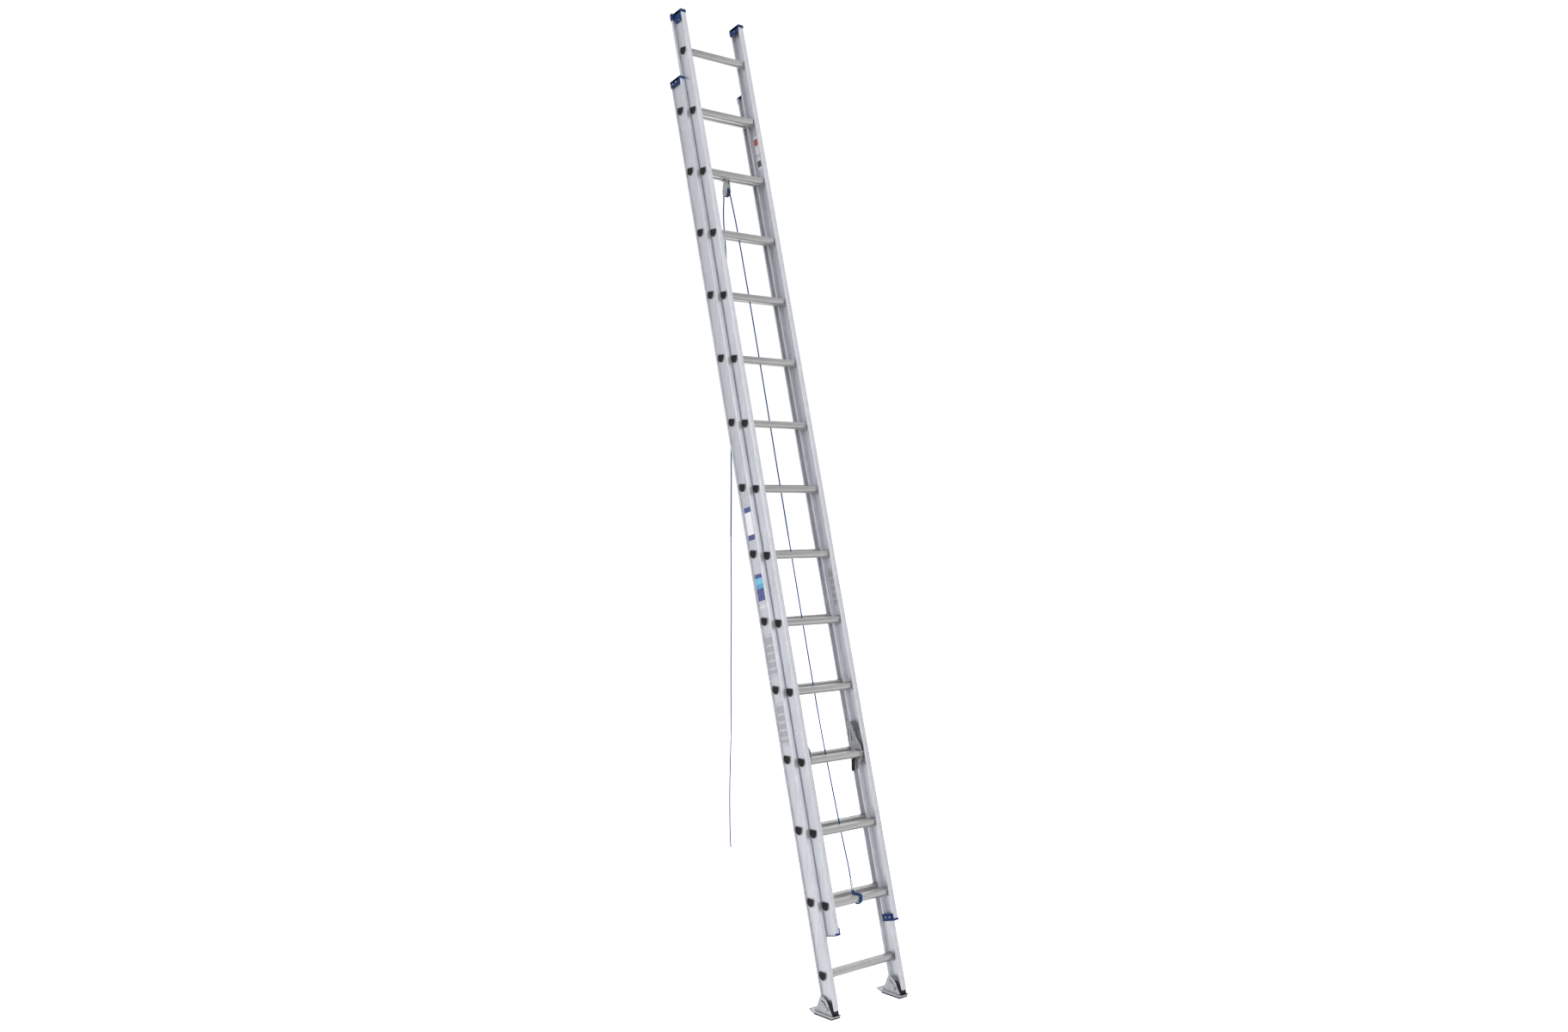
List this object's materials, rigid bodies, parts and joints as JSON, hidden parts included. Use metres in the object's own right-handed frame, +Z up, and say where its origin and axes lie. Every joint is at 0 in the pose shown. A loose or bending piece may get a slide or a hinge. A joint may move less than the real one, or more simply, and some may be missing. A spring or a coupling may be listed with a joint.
{
  "type": "extension ladder",
  "caption": "Leaning two-section aluminium extension ladder with D-shaped rungs, rung locks, hoist rope and pulley, swivel shoes.",
  "frame": {"origin": "floor level, at the centre of the leaning ladder's plan outline", "axes": "+Z up, +X along the rungs to the climber's right, +Y towards the wall that the ladder leans on"},
  "size_m": [0.463, 1.1668, 4.4974],
  "materials": {
    "rail_aluminium": "satin mill-finish extruded aluminium, lengthwise drawing lines",
    "rung_aluminium": "ribbed extruded aluminium, slightly warm grey",
    "blue_cap": "deep blue moulded plastic, fine texture",
    "pad_rubber": "black ribbed rubber",
    "zinc_steel": "zinc-plated steel",
    "shoe_metal": "pressed aluminium, satin",
    "black_plastic": "black moulded plastic",
    "lock_metal": "die-cast metal, dull grey",
    "wheel_plastic": "dark grey moulded plastic",
    "ferrule_aluminium": "crimped aluminium sleeve",
    "rope_blue": "braided blue polypropylene rope"
  },
  "bodies": {
    "base_section": {"base_rail_left": "rail_aluminium", "base_rail_right": "rail_aluminium", "base_rung_01": "rung_aluminium", "base_rung_02": "rung_aluminium", "base_rung_03": "rung_aluminium", "base_rung_04": "rung_aluminium", "base_rung_05": "rung_aluminium", "base_rung_06": "rung_aluminium", "base_rung_07": "rung_aluminium", "base_rung_08": "rung_aluminium", "base_rung_09": "rung_aluminium", "base_rung_10": "rung_aluminium", "base_rung_11": "rung_aluminium", "base_rung_12": "rung_aluminium", "base_rung_13": "rung_aluminium", "base_rung_14": "rung_aluminium", "base_top_cap_left": "blue_cap", "base_top_cap_right": "blue_cap", "shoe_bolt_left": "zinc_steel", "shoe_bolt_right": "zinc_steel", "pulley_hanger": "zinc_steel", "pulley_block": "zinc_steel", "pulley_axle": "zinc_steel", "rope_lift_run": "rope_blue", "rope_free_run": "rope_blue"},
    "fly_section": {"fly_rail_left": "rail_aluminium", "fly_rail_right": "rail_aluminium", "fly_rung_01": "rung_aluminium", "fly_rung_02": "rung_aluminium", "fly_rung_03": "rung_aluminium", "fly_rung_04": "rung_aluminium", "fly_rung_05": "rung_aluminium", "fly_rung_06": "rung_aluminium", "fly_rung_07": "rung_aluminium", "fly_rung_08": "rung_aluminium", "fly_rung_09": "rung_aluminium", "fly_rung_10": "rung_aluminium", "fly_rung_11": "rung_aluminium", "fly_rung_12": "rung_aluminium", "fly_rung_13": "rung_aluminium", "fly_rung_14": "rung_aluminium", "fly_top_cap_left": "blue_cap", "fly_top_cap_right": "blue_cap", "fly_bottom_cap_left": "blue_cap", "fly_bottom_cap_right": "blue_cap", "lock_bracket_left": "lock_metal", "lock_bracket_right": "lock_metal", "lock_spring_left": "zinc_steel", "lock_spring_right": "zinc_steel", "rope_tie": "rope_blue", "rope_ferrule": "ferrule_aluminium"},
    "swivel_shoe_left": {"shoe_left": "shoe_metal", "shoe_pad_left": "pad_rubber"},
    "lock_arm_left": {"lock_hook_left": "lock_metal"},
    "flipper_left": {"lock_flipper_left": "black_plastic"},
    "swivel_shoe_right": {"shoe_right": "shoe_metal", "shoe_pad_right": "pad_rubber"},
    "lock_arm_right": {"lock_hook_right": "lock_metal"},
    "flipper_right": {"lock_flipper_right": "black_plastic"},
    "wheel": {"pulley_wheel": "wheel_plastic"}
  },
  "joints": [
    {"name": "fly_slide", "type": "slide", "parent": "base_section", "child": "fly_section", "axis": [0, 0.2504, 0.9681], "range_m": [0, 3.048], "deforming": ["rope_lift_run"]},
    {"name": "shoe_pivot_left", "type": "hinge", "parent": "base_section", "child": "swivel_shoe_left", "pos_m": [-0.2045, -0.5356, 0.03636], "axis": [-1, 0, 0], "range_deg": [-8, 24]},
    {"name": "shoe_pivot_right", "type": "hinge", "parent": "base_section", "child": "swivel_shoe_right", "pos_m": [0.2045, -0.5356, 0.03636], "axis": [-1, 0, 0], "range_deg": [-8, 24]},
    {"name": "lock_swing_left", "type": "hinge", "parent": "fly_section", "child": "lock_arm_left", "pos_m": [-0.1595, -0.28407, 1.17671], "axis": [-1, 0, 0], "range_deg": [0, 25], "stiffness_Nm_per_rad": 0.2, "springref_deg": -20.05},
    {"name": "lock_swing_right", "type": "hinge", "parent": "fly_section", "child": "lock_arm_right", "pos_m": [0.1595, -0.28407, 1.17671], "axis": [-1, 0, 0], "range_deg": [0, 25], "stiffness_Nm_per_rad": 0.2, "springref_deg": -20.05},
    {"name": "flipper_swing_left", "type": "hinge", "parent": "fly_section", "child": "flipper_left", "pos_m": [-0.1365, -0.32797, 1.02693], "axis": [-1, 0, 0], "range_deg": [0, 45]},
    {"name": "flipper_swing_right", "type": "hinge", "parent": "fly_section", "child": "flipper_right", "pos_m": [0.1365, -0.32797, 1.02693], "axis": [-1, 0, 0], "range_deg": [0, 45]},
    {"name": "wheel_spin", "type": "hinge", "parent": "base_section", "child": "wheel", "pos_m": [-0.012, 0.38862, 3.6351], "axis": [1, 0, 0], "continuous": true}
  ]
}
